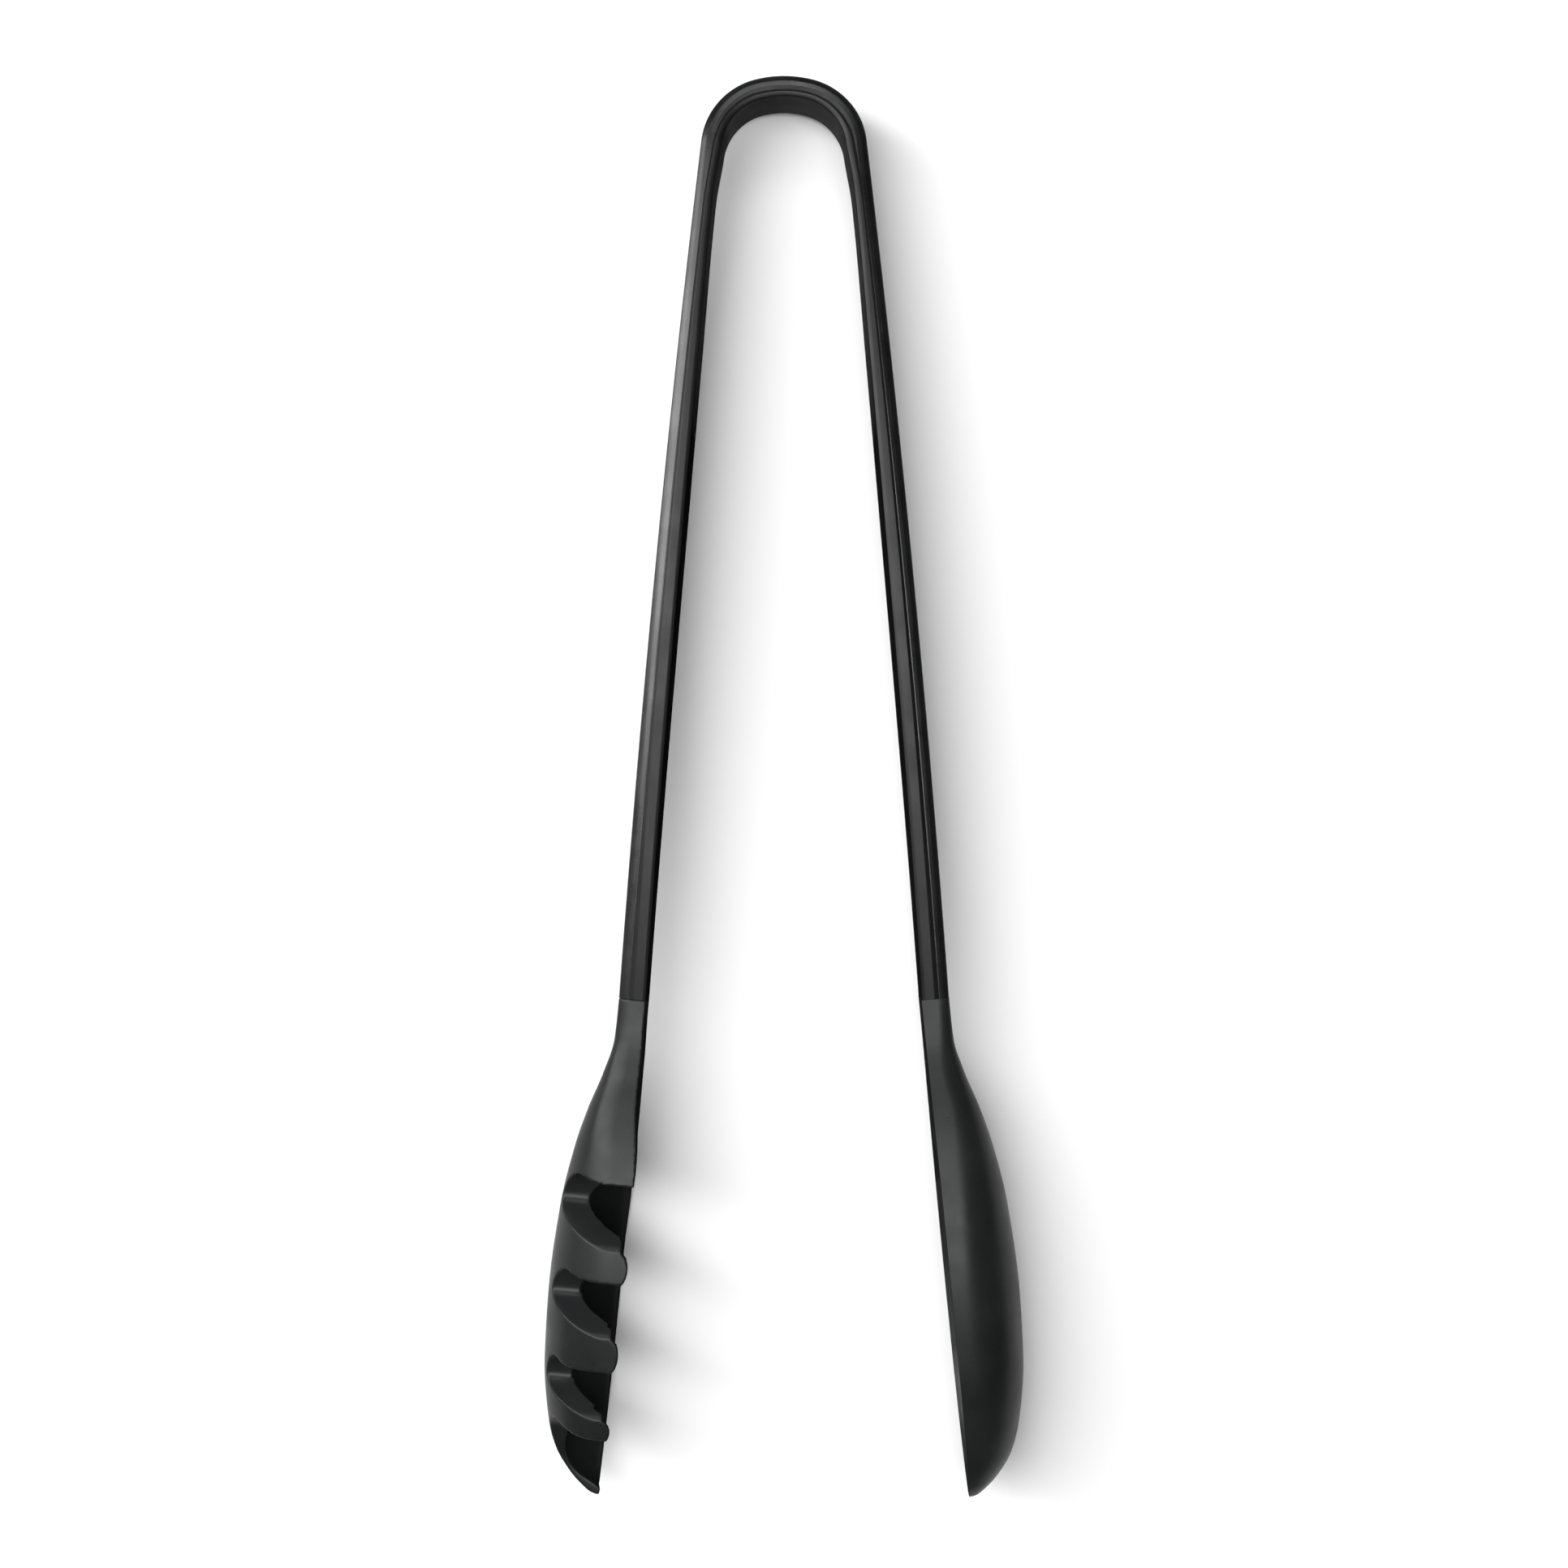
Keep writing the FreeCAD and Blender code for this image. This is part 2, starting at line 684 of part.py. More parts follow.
def main():
    fill_sheet()
    parts = make_bow() + [make_strip()]
    parts += make_arm("left", -1) + make_arm("right", 1)
    parts += [make_fork_head(), make_spoon_head()]
    parts += [make_pins("fork_neck_pins", -1), make_pins("spoon_neck_pins", 1)]
    document.recompute()
    check(parts)
    os.makedirs("parts", exist_ok=True)
    for part in parts:
        part.Shape.exportStep("parts/%s.step" % part.Label)
        box = part.Shape.BoundBox
        print("%-18s %2d solids %9.1f mm3  x %6.1f %6.1f  y %6.1f %6.1f  z %5.1f %5.1f" % (
            part.Label, len(part.Shape.Solids), part.Shape.Volume,
            box.XMin, box.XMax, box.YMin, box.YMax, box.ZMin, box.ZMax))


main()
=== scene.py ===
"""Looks of the kitchen tongs: detailed meshes, materials, floor, light and camera, made around
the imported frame. Lengths are in millimetres until a mesh is written, and +w is towards +Z."""

import math

import bmesh
import bpy
import numpy as np
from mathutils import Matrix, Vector


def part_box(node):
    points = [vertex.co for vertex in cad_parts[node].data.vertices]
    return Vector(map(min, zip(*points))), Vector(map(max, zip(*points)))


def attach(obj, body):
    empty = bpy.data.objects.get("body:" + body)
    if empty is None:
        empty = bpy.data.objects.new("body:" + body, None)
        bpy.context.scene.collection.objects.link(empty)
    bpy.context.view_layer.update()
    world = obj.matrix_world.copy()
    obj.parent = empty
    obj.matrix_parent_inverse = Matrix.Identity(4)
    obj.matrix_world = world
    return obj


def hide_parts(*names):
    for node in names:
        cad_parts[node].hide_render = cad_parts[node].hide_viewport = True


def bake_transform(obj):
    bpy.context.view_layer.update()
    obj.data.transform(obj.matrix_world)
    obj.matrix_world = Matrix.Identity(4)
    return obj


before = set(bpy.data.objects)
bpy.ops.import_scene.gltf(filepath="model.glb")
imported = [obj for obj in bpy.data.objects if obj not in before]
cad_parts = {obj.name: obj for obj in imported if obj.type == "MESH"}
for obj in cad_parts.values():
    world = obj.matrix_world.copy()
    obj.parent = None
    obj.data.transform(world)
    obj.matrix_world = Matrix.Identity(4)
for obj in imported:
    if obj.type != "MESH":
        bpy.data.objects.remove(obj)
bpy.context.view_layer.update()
MM = 0.001

# ---------------------------------------------------------------- driving dimensions

MIDDLE_Z = (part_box("bow_shell")[0].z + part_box("bow_shell")[1].z) / 2 / MM
CROWN_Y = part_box("bow_shell")[1].y / MM
SEAM_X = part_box("right_arm_shell")[1].x / MM
SEAM_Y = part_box("spoon_head")[1].y / MM

CROWN_RADIUS, SHOULDER_RADIUS = 23.0, 14.25
CROWN_HALF_ANGLE = math.radians(14.0)
ARM_ANGLE_TOP, ARM_ANGLE_SEAM = math.radians(6.6), math.radians(4.4)
ARM_CURVE_RADIUS = 4400.0
HEAD_TILT = math.radians(5.6)

SEAM_THICKNESS = 5.45
SHELL_RIM, SHELL_WALL = 2.0, 1.0
CHANNEL_HALF_WIDTH = 4.4
STRIP_HALF_WIDTH, STRIP_THICKNESS, STRIP_GAP = 4.3, 0.94, 0.03
TANG_LENGTH = 16.0
CROWN_HALF_WIDTH, SHOULDER_HALF_WIDTH, SEAM_HALF_WIDTH = 7.5, 8.4, 7.2
WIDTH_CURVE_RADIUS = 1040.0

# ---------------------------------------------------------------- small helpers


def lerp(a, b, t):
    """a where t is 0 and b where t is 1."""
    return a + (b - a) * t


def ease(low, high, x):
    """0 below low, 1 above high, and smooth between them."""
    t = np.clip((x - low) / (high - low), 0.0, 1.0)
    return t * t * (3 - 2 * t)


def curve_through(stations, x):
    """A smooth curve through (x, y) stations that never overshoots between two of them."""
    xs, ys = (np.array(v, float) for v in zip(*stations))
    step, slope = np.diff(xs), np.diff(ys) / np.diff(xs)
    tangent = np.zeros_like(ys)
    tangent[0], tangent[-1] = slope[0], slope[-1]
    for k in range(1, len(xs) - 1):
        if slope[k - 1] * slope[k] > 0:
            before, after = 2 * step[k] + step[k - 1], step[k] + 2 * step[k - 1]
            tangent[k] = (before + after) / (before / slope[k - 1] + after / slope[k])
    k = int(np.clip(np.searchsorted(xs, x) - 1, 0, len(step) - 1))
    t = (x - xs[k]) / step[k]
    return ((1 + 2 * t) * (1 - t) ** 2 * ys[k] + t * (1 - t) ** 2 * step[k] * tangent[k]
            + t * t * (3 - 2 * t) * ys[k + 1] + t * t * (t - 1) * step[k] * tangent[k + 1])


def rounded(corners, steps=3):
    """A closed outline with its corners rounded. A corner is (x, y, cut), where the rounding
    starts cut before the corner and ends cut after it."""
    points = []
    count = len(corners)
    for k, (x, y, cut) in enumerate(corners):
        here = np.array((x, y))
        if cut == 0:
            points.append(here)
            continue
        ends = []
        for other in (corners[k - 1], corners[(k + 1) % count]):
            way = np.array(other[:2]) - here
            length = max(np.hypot(*way), 1e-6)
            ends.append(here + way / length * min(cut, 0.49 * length))
        for t in np.linspace(0, 1, steps + 1):
            points.append((1 - t) ** 2 * ends[0] + 2 * t * (1 - t) * here + t * t * ends[1])
    return np.array(points)


def mesh_object(name, rows, side=1):
    """A closed mesh from rings of points in millimetres, with a cap on each end. side -1
    mirrors it to the left."""
    rings = np.array(rows, float)
    rings[..., 0] *= side
    count, size = rings.shape[:2]
    mesh = bpy.data.meshes.new(name)
    points = (rings.reshape(-1, 3) * MM).tolist()
    faces = []
    for i in range(count - 1):
        for j in range(size):
            k = (j + 1) % size
            faces.append((i * size + j, i * size + k, (i + 1) * size + k, (i + 1) * size + j))
    faces.append(tuple(range(size)))
    faces.append(tuple((count - 1) * size + j for j in range(size)))
    mesh.from_pydata(points, [], faces)
    tidy = bmesh.new()
    tidy.from_mesh(mesh)
    bmesh.ops.remove_doubles(tidy, verts=tidy.verts, dist=1e-6)
    bmesh.ops.recalc_face_normals(tidy, faces=tidy.faces)
    tidy.to_mesh(mesh)
    tidy.free()
    piece = bpy.data.objects.new(name, mesh)
    bpy.context.scene.collection.objects.link(piece)
    return piece


def shade(piece, angle=32.0):
    """Smooth shading that keeps edges sharper than the angle."""
    piece.data.shade_smooth()
    piece.data.set_sharp_from_angle(angle=math.radians(angle))


def apply_modifiers(piece):
    """Replace the piece's mesh by what its modifiers make of it."""
    graph = bpy.context.evaluated_depsgraph_get()
    mesh = bpy.data.meshes.new_from_object(piece.evaluated_get(graph))
    piece.modifiers.clear()
    piece.data = mesh


# ---------------------------------------------------------------- path of the band

SHOULDER_END = math.pi / 2 - ARM_ANGLE_TOP
SHOULDER_X = (CROWN_RADIUS - SHOULDER_RADIUS) * math.sin(CROWN_HALF_ANGLE)
SHOULDER_Y = CROWN_Y - CROWN_RADIUS + (CROWN_RADIUS - SHOULDER_RADIUS) * math.cos(CROWN_HALF_ANGLE)
CROWN_LENGTH = CROWN_RADIUS * CROWN_HALF_ANGLE
BOW_LENGTH = CROWN_LENGTH + SHOULDER_RADIUS * (SHOULDER_END - CROWN_HALF_ANGLE)
ARM_START = np.array((SHOULDER_X + SHOULDER_RADIUS * math.sin(SHOULDER_END),
                      SHOULDER_Y + SHOULDER_RADIUS * math.cos(SHOULDER_END)))
ARM_END = np.array((SEAM_X, SEAM_Y))
ARM_LENGTH = float(np.hypot(*(ARM_END - ARM_START)))
SEAM_AT = BOW_LENGTH + ARM_LENGTH
ARM_SAGITTA = ARM_LENGTH ** 2 / (8 * ARM_CURVE_RADIUS)


def band_point(s):
    """The outer face at a distance s from the crown, on the right: point and outward normal."""
    if s <= CROWN_LENGTH:
        turn = s / CROWN_RADIUS
        normal = np.array((math.sin(turn), math.cos(turn)))
        return np.array((0, CROWN_Y - CROWN_RADIUS)) + CROWN_RADIUS * normal, normal
    if s <= BOW_LENGTH:
        turn = CROWN_HALF_ANGLE + (s - CROWN_LENGTH) / SHOULDER_RADIUS
        normal = np.array((math.sin(turn), math.cos(turn)))
        return np.array((SHOULDER_X, SHOULDER_Y)) + SHOULDER_RADIUS * normal, normal
    t = min((s - BOW_LENGTH) / ARM_LENGTH, 1.0)
    along = (ARM_END - ARM_START) / ARM_LENGTH
    outward = np.array((-along[1], along[0]))
    point = ARM_START + along * ARM_LENGTH * t + outward * ARM_SAGITTA * 4 * t * (1 - t)
    lean = lerp(ARM_ANGLE_TOP, ARM_ANGLE_SEAM, t)
    lean += (HEAD_TILT - ARM_ANGLE_SEAM) * ease(0.92, 1.0, t)
    normal = np.array((math.cos(lean), math.sin(lean)))
    if s > SEAM_AT:
        point = point + (s - SEAM_AT) * np.array((math.sin(HEAD_TILT), -math.cos(HEAD_TILT)))
    return point, normal


def half_width(s):
    """Half the band's width: it swells from the bow to the grip and narrows to the seam."""
    y = band_point(s)[0][1]
    if s <= BOW_LENGTH:
        t = (CROWN_Y - y) / (CROWN_Y - ARM_START[1])
        return lerp(CROWN_HALF_WIDTH, SHOULDER_HALF_WIDTH, t)
    t = (ARM_START[1] - y) / (ARM_START[1] - SEAM_Y)
    swell = (ARM_START[1] - SEAM_Y) ** 2 / (8 * WIDTH_CURVE_RADIUS)
    return lerp(SHOULDER_HALF_WIDTH, SEAM_HALF_WIDTH, t) + swell * 4 * t * (1 - t)


def thickness(s):
    """All layers together: thickest where the crown bends into the shoulder, thinnest just
    below it, and growing again towards the heads."""
    stops = ((0, 4.2), (0.6 * BOW_LENGTH, 4.35), (BOW_LENGTH, 4.2), (BOW_LENGTH + 9, 3.65),
             (BOW_LENGTH + 0.25 * ARM_LENGTH, 4.25), (BOW_LENGTH + 0.5 * ARM_LENGTH, 4.85),
             (SEAM_AT + 1, SEAM_THICKNESS))
    return curve_through(stops, s)


BOW_RINGS, ARM_RINGS = 72, 96


def stations(end):
    """Distances along the band: close together round the bow, wider along the arm."""
    bow_end = BOW_LENGTH + 6
    bow = np.linspace(0, bow_end, BOW_RINGS)
    arm = np.linspace(bow_end, end, ARM_RINGS)[1:]
    return np.concatenate((bow, arm))


def sweep(profile, end):
    """Rings of points along the band. profile(s) gives (depth, w) pairs."""
    rings = []
    for s in stations(end):
        point, normal = band_point(s)
        ring = [(*(point - normal * depth), MIDDLE_Z + w) for depth, w in profile(s)]
        rings.append(ring)
    return rings


def both_ways(upper):
    """The whole outline from its upper half, which starts and ends on the middle plane."""
    lower = [(d, -w, cut) for d, w, cut in reversed(upper) if w > 0]
    return upper + lower


# ---------------------------------------------------------------- layers of the band

SHELL_DROP = 0.32                           # the shell's rim is this much below the liner's top
BEVEL_DEPTH, BEVEL_HEIGHT = 1.0, 0.62       # bevel of the shell's outer edge
FACET_DROP, FACET_END = 0.19, 2.05          # slope of its edge face, down to the bevel
GROOVE_DEPTH, GROOVE_GAP = 0.5, 0.18        # the dark line between shell and liner
RIDGE_DEPTH, RIDGE_DROP = 0.75, 0.22        # bevel of the liner's inner edge
CROWN_RIM = 3.0                             # depth of the shell's rim round the crown


def chamfer_width(s):
    """The liner's outer chamfer: narrow round the bow and widest at the seam."""
    stops = ((0, 0.24), (BOW_LENGTH + 10, 0.26), (BOW_LENGTH + 60, 0.4), (SEAM_AT + 1, 0.95))
    return curve_through(stops, s)


def shell_rim(s):
    """Depth of the shell's rim that shows: it is wider round the crown than along the arms."""
    return lerp(CROWN_RIM, SHELL_RIM, ease(0.6 * BOW_LENGTH, BOW_LENGTH + 14, s))


def shell_profile(s):
    """The outer moulding: bevel, edge face, groove, and the channel that holds the strip."""
    top = half_width(s) - SHELL_DROP
    rim, wall = shell_rim(s), SHELL_WALL
    return rounded(both_ways([
        (0, 0, 0),
        (0, top - FACET_DROP - BEVEL_HEIGHT, 0.25),
        (BEVEL_DEPTH, top - FACET_DROP, 0.25),
        (min(FACET_END, rim - GROOVE_GAP - 0.02), top, 0.06),
        (rim - GROOVE_GAP, top, 0),
        (rim - GROOVE_GAP, top - GROOVE_DEPTH, 0),
        (SHELL_RIM, top - GROOVE_DEPTH, 0),
        (SHELL_RIM, CHANNEL_HALF_WIDTH, 0),
        (wall, CHANNEL_HALF_WIDTH, 0),
        (wall, 0, 0),
    ]), 4)


def liner_profile(s):
    """The inner moulding: outer chamfer, flat top and a bevelled ridge along its inner edge."""
    top = half_width(s)
    inner, rim, chamfer = thickness(s), shell_rim(s), chamfer_width(s)
    shoulder = top - SHELL_DROP - GROOVE_DEPTH
    return rounded(both_ways([
        (SHELL_RIM, 0, 0),
        (SHELL_RIM, shoulder, 0),
        (rim, shoulder, 0),
        (rim, top - SHELL_DROP + 0.02, 0.06),
        (rim + chamfer, top, 0.12),
        (inner - RIDGE_DEPTH, top - 0.04, 0.1),
        (inner - 0.08, top - RIDGE_DROP, 0.16),
        (inner, top - RIDGE_DROP - 0.4, 0.16),
        (inner, 0, 0),
    ]), 3)


def strip_profile(s):
    """The spring strip, which is the same all along the band."""
    outer = SHELL_WALL + STRIP_GAP
    inner = outer + STRIP_THICKNESS
    return rounded(both_ways([
        (outer, 0, 0),
        (outer, STRIP_HALF_WIDTH, 0.2),
        (inner, STRIP_HALF_WIDTH, 0.2),
        (inner, 0, 0),
    ]), 3)


def band_piece(side_name, layer, profile, end, nodes):
    """One layer of the band on one side, from the crown to its end."""
    side = -1 if side_name == "left" else 1
    piece = mesh_object("%s_%s" % (side_name, layer), sweep(profile, end), side)
    shade(piece)
    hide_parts(*[node.replace("SIDE", side_name) for node in nodes])
    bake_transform(piece)
    return piece


# ---------------------------------------------------------------- heads
# A head has its own frame: u along the mouth plane from the seam, v behind it, w across it.

HEAD_SECTIONS = (
    # u, depth behind the mouth plane, half width, corner radius along v, and along w
    (0.0, 5.45, 7.2, 2.6, 1.1),
    (4.0, 5.45, 7.25, 2.8, 1.3),
    (8.0, 5.55, 7.5, 3.1, 1.8),
    (15.0, 7.1, 8.7, 4.6, 3.2),
    (22.0, 9.35, 10.2, 5.8, 5.2),
    (30.0, 11.35, 11.7, 8.0, 7.8),
    (42.0, 13.15, 13.2, 10.4, 10.4),
    (57.0, 13.9, 14.0, 11.9, 11.9),
    (72.0, 13.4, 13.4, 11.6, 11.6),
    (84.0, 11.6, 11.2, 10.4, 10.2),
    (91.0, 9.35, 8.5, 8.5, 8.1),
    (95.6, 6.1, 5.9, 5.6, 5.6),
    (98.2, 3.2, 3.8, 2.9, 3.5),
    (99.2, 1.7, 2.2, 1.5, 2.0),
    (99.5, 0.6, 0.9, 0.5, 0.8),
)
HEAD_LENGTH = HEAD_SECTIONS[-1][0]
WALL_BACK, WALL_TIP, WALL_RIM = 3.2, 0.9, 0.9
SPOON_HOLLOW, FORK_HOLLOW = 1.85, 1.42      # 2 would make the hollow's section an ellipse
SCOOP_START, SCOOP_FULL = 24.0, 41.0        # u where the hollow starts and is full depth
SCOOP_CLOSING, SCOOP_END = 93.0, 98.2       # u where it starts to close at the tip, and ends
SCOOP_FIRST_WIDTH = 0.35                    # its width at the start, as a share of the full one
RIM_ROUND = 0.28                            # rounding of the outer edge of the mouth
TIP_RINGS_FROM = 88.0                       # u from which the rings come closer together


def head_section(u):
    """Depth, half width and the two corner radii of the outside at u."""
    return [curve_through([(row[0], row[k]) for row in HEAD_SECTIONS], u) for k in (1, 2, 3, 4)]


def scoop_section(u):
    """Depth and half width of the hollow at u. Its depth is 0 where the neck is solid."""
    depth, width, _, _ = head_section(min(u, SCOOP_END))
    wall = lerp(WALL_BACK, WALL_TIP, ease(84, 97, u))
    start = np.clip((u - SCOOP_START) / (SCOOP_FULL - SCOOP_START), 0, 1)
    opening = math.sin(start * math.pi / 2)
    closing = 1.0
    if u > SCOOP_CLOSING:
        near_end = ease(0, 1, (u - SCOOP_CLOSING) / (SCOOP_END - SCOOP_CLOSING))
        closing = math.sqrt(max(1 - near_end ** 2, 0))
    return (max((depth - wall) * opening ** 1.3 * closing, 0.0),
            max((width - WALL_RIM) * lerp(SCOOP_FIRST_WIDTH, 1, opening), 0.1))


def outside_half(depth, width, corner_v, corner_w, rim):
    """(v, w) pairs from the rim at v = rim, round the near side, to the middle of the back."""
    corner_v = min(corner_v, 0.98 * (depth - rim))
    corner_w = min(corner_w, 0.98 * width)
    points = [(lerp(rim, depth - corner_v, t), width) for t in np.linspace(0, 1, 7)[:-1]]
    for t in np.linspace(0, math.pi / 2, 27):
        points.append((depth - corner_v + corner_v * math.sin(t),
                       width - corner_w + corner_w * math.cos(t)))
    points += [(depth, lerp(width - corner_w, 0, t)) for t in np.linspace(0, 1, 8)[1:]]
    return points


def inside_half(depth, width, outer_width, rim, power):
    """(v, w) pairs from the middle of the hollow's floor to its rim at v = rim. The walls end
    at v = rim too, so the hollow follows the mouth's edge."""
    points = []
    for t in np.linspace(0, math.pi / 2, 30):
        bulge_v, bulge_w = math.cos(t) ** (2 / power), math.sin(t) ** (2 / power)
        points.append((rim * math.sin(t) ** 4 + depth * bulge_v, width * bulge_w))
    points += [(rim, lerp(width, outer_width, t)) for t in (0.3, 0.65)]
    return points


def mirrored(half):
    """The same stretch of outline on the far side, walked the other way."""
    return [(v, -w) for v, w in reversed(half)]


def head_ring(u, near_rim, far_rim, power):
    """One closed section of a head: outside from the near rim to the far rim, then inside."""
    depth, width, corner_v, corner_w = head_section(u)
    hollow, scoop_width = scoop_section(u)
    scoop_width = min(scoop_width, 0.9 * width)
    near_out = outside_half(depth, width, corner_v, corner_w, near_rim)
    far_out = outside_half(depth, width, corner_v, corner_w, far_rim)
    near_in = inside_half(hollow, scoop_width, width - RIM_ROUND, near_rim, power)
    far_in = inside_half(hollow, scoop_width, width - RIM_ROUND, far_rim, power)
    return near_out + mirrored(far_out)[1:] + mirrored(far_in)[:-1] + near_in


def head_origin():
    """Where the mouth plane meets the seam, on the right."""
    point, normal = band_point(SEAM_AT)
    return point - normal * SEAM_THICKNESS


HEAD_AT = head_origin()
ALONG = np.array((math.sin(HEAD_TILT), -math.cos(HEAD_TILT)))
BEHIND = np.array((math.cos(HEAD_TILT), math.sin(HEAD_TILT)))


def head_to_row(u, v, w):
    """A point of the right head in the tongs' frame."""
    x, y = HEAD_AT + ALONG * u + BEHIND * v
    return (x, y, MIDDLE_Z + w)


def head_stations():
    """Places of the rings along a head, closer and closer together towards the tip."""
    neck = np.linspace(0, SCOOP_START, 41)
    bowl = np.linspace(SCOOP_START, TIP_RINGS_FROM, 129)[1:]
    tip = HEAD_LENGTH - (HEAD_LENGTH - TIP_RINGS_FROM) * np.linspace(1, 0, 40)[1:] ** 1.4
    return np.concatenate((neck, bowl, tip))


def head_mesh(name, side, near_rim, far_rim, power):
    """A whole head. near_rim(u) and far_rim(u) give v at the two long edges of its mouth."""
    rings = []
    for u in head_stations():
        ring = head_ring(u, near_rim(u), far_rim(u), power)
        rings.append([head_to_row(u, v, w) for v, w in ring])
    return mesh_object(name, rings, side)


# ---------------------------------------------------------------- fork

SLOTS = (
    # u where a slot starts and ends at the rim, and how far its floor is above the middle
    (36.6, 49.2, 5.6),
    (55.2, 66.1, 7.2),
    (72.4, 82.5, 6.0),
)
TIP_START = 86.0
TOOTH_TIPS = (1.75, 1.55, 1.25)             # how far each tooth stands past the mouth plane
TOOTH_CROWN = 1.6                           # height of the round end of a tooth
NECK_SWELL, NEAR_RIM_RISE = 0.2, 1.2        # how far the neck's edges stand past the same plane
RIM_SET_BACK = 0.35                         # from the second tooth on, behind the mouth plane
OVER = 18.0                                 # w above all of the fork
CUT_FROM, CUT_TO = -6.0, 20.0               # v before and behind all of the fork
FORK_CELL = 0.24                            # cell of the even mesh that softens its edges


def fork_far_rim(u):
    """v of the fork's far rim: a little proud along the neck, a little back along the teeth."""
    neck = float(ease(2, 12, u) - ease(34, 38, u))
    return RIM_SET_BACK * float(ease(40, 52, u)) - NECK_SWELL * neck


def fork_near_rim(u):
    """v of the fork's near rim: it rises to the first slot, then each tooth is rounded."""
    rim = fork_far_rim(min(u, 34)) - NEAR_RIM_RISE * float(ease(18, 34, u))
    starts = [slot[1] for slot in SLOTS]
    stops = [slot[0] for slot in SLOTS[1:]] + [TIP_START + 0.6]
    for start, stop, tip in zip(starts, stops, TOOTH_TIPS):
        if start - 3 < u < stop + 3:
            middle, reach = (start + stop) / 2, (stop - start) / 2 + 0.25
            share = abs(u - middle) / reach
            crown = math.sqrt(max(1 - share ** 2, 0)) if share < 1 else 0
            rim = -(tip - TOOTH_CROWN) - TOOTH_CROWN * crown
    if u > TIP_START + 3:
        rim = fork_far_rim(u)
    return rim


def cutter(name, outline):
    """A block with that outline in u and w, which cuts through the fork along v."""
    rows = [[head_to_row(u, v, w) for u, w in outline] for v in (CUT_FROM, CUT_TO)]
    return mesh_object(name, rows, -1)


def slot_cutter(number):
    """What one slot takes away: a steep side with a round foot, and a long ramp to the tooth."""
    start, end, floor = SLOTS[number]
    top = head_section(end)[1]
    height = top - floor
    outline = rounded([
        (start, OVER, 0),
        (start, top - 0.7, 1.8),
        (start - 2.4, floor + 0.43 * height, 1.9),
        (lerp(start, end, 0.08), floor - 0.1, 2.4),
        (lerp(start, end, 0.36), floor - 0.3, 2.8),
        (lerp(start, end, 0.80), floor + 0.88 * height, 5.0),
        (end, top + 0.3, 0.6),
        (end, OVER, 0),
    ], 10)
    return cutter("slot_cutter_%d" % number, outline)


def tip_cutter():
    """What is missing at the tip: most of the near wall, along a slanting edge."""
    outline = rounded([
        (TIP_START + 0.6, OVER, 0),
        (TIP_START + 0.6, 10.4, 1.6),
        (TIP_START - 3.2, 6.6, 1.6),
        (TIP_START - 1.2, 3.4, 2.0),
        (TIP_START + 6.0, -0.4, 3.0),
        (HEAD_LENGTH + 5, -0.6, 0),
        (HEAD_LENGTH + 5, OVER, 0),
    ], 8)
    return cutter("tip_cutter", outline)


def make_fork():
    """The fork: a bowl with its slots cut out and all its edges softened."""
    fork = head_mesh("fork_bowl", -1, fork_near_rim, fork_far_rim, FORK_HOLLOW)
    cutters = [slot_cutter(number) for number in range(len(SLOTS))] + [tip_cutter()]
    for block in cutters:
        cut = fork.modifiers.new("cut", "BOOLEAN")
        cut.object = block
        cut.operation = "DIFFERENCE"
        cut.solver = "EXACT"
    remesh = fork.modifiers.new("even", "REMESH")
    remesh.mode = "VOXEL"
    remesh.voxel_size = FORK_CELL * MM
    remesh.use_smooth_shade = True
    relax = fork.modifiers.new("relax", "SMOOTH")
    relax.factor = 0.5
    relax.iterations = 4
    apply_modifiers(fork)
    for block in cutters:
        bpy.data.objects.remove(block)
    fork.data.shade_smooth()
    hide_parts("fork_head")
    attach(fork, "left_arm")
    return fork


def make_spoon():
    """The spoon: the same bowl, uncut, with its mouth in one plane."""
    spoon = head_mesh("spoon_bowl", 1, lambda u: 0.0, lambda u: 0.0, SPOON_HOLLOW)
    shade(spoon, 40)
    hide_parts("spoon_head")
    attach(spoon, "right_arm")
    return spoon


# ---------------------------------------------------------------- materials


class Graph:
    """A material's node tree, with short ways to add and join nodes."""

    def __init__(self, name):
        self.material = bpy.data.materials.new(name)
        self.material.use_nodes = True
        self.tree = self.material.node_tree
        self.shader = self.tree.nodes["Principled BSDF"]

    def node(self, kind, inputs=None, **settings):
        node = self.tree.nodes.new(kind)
        for key, setting in settings.items():
            setattr(node, key, setting)
        for key, source in (inputs or {}).items():
            if isinstance(source, bpy.types.NodeSocket):
                self.tree.links.new(source, node.inputs[key])
            else:
                node.inputs[key].default_value = source
        return node

    def link(self, source, key):
        self.tree.links.new(source, self.shader.inputs[key])


def noise(graph, place, scale, detail=4.0, roughness=0.55):
    """A noise whose features are about 1 / scale metres across."""
    return graph.node("ShaderNodeTexNoise", {
        "Vector": place, "Scale": scale, "Detail": detail, "Roughness": roughness})


def remap(graph, source, low, high, new_low, new_high):
    """source between low and high, carried to between new_low and new_high."""
    return graph.node("ShaderNodeMapRange", {
        "Value": source, "From Min": low, "From Max": high,
        "To Min": new_low, "To Max": new_high}).outputs["Result"]


# A face looks towards the other arm where its place's X and its normal's X differ in sign.
MOUTH_SIDE = (-0.018, -0.009)               # their product on a dull face, and on a glossy one


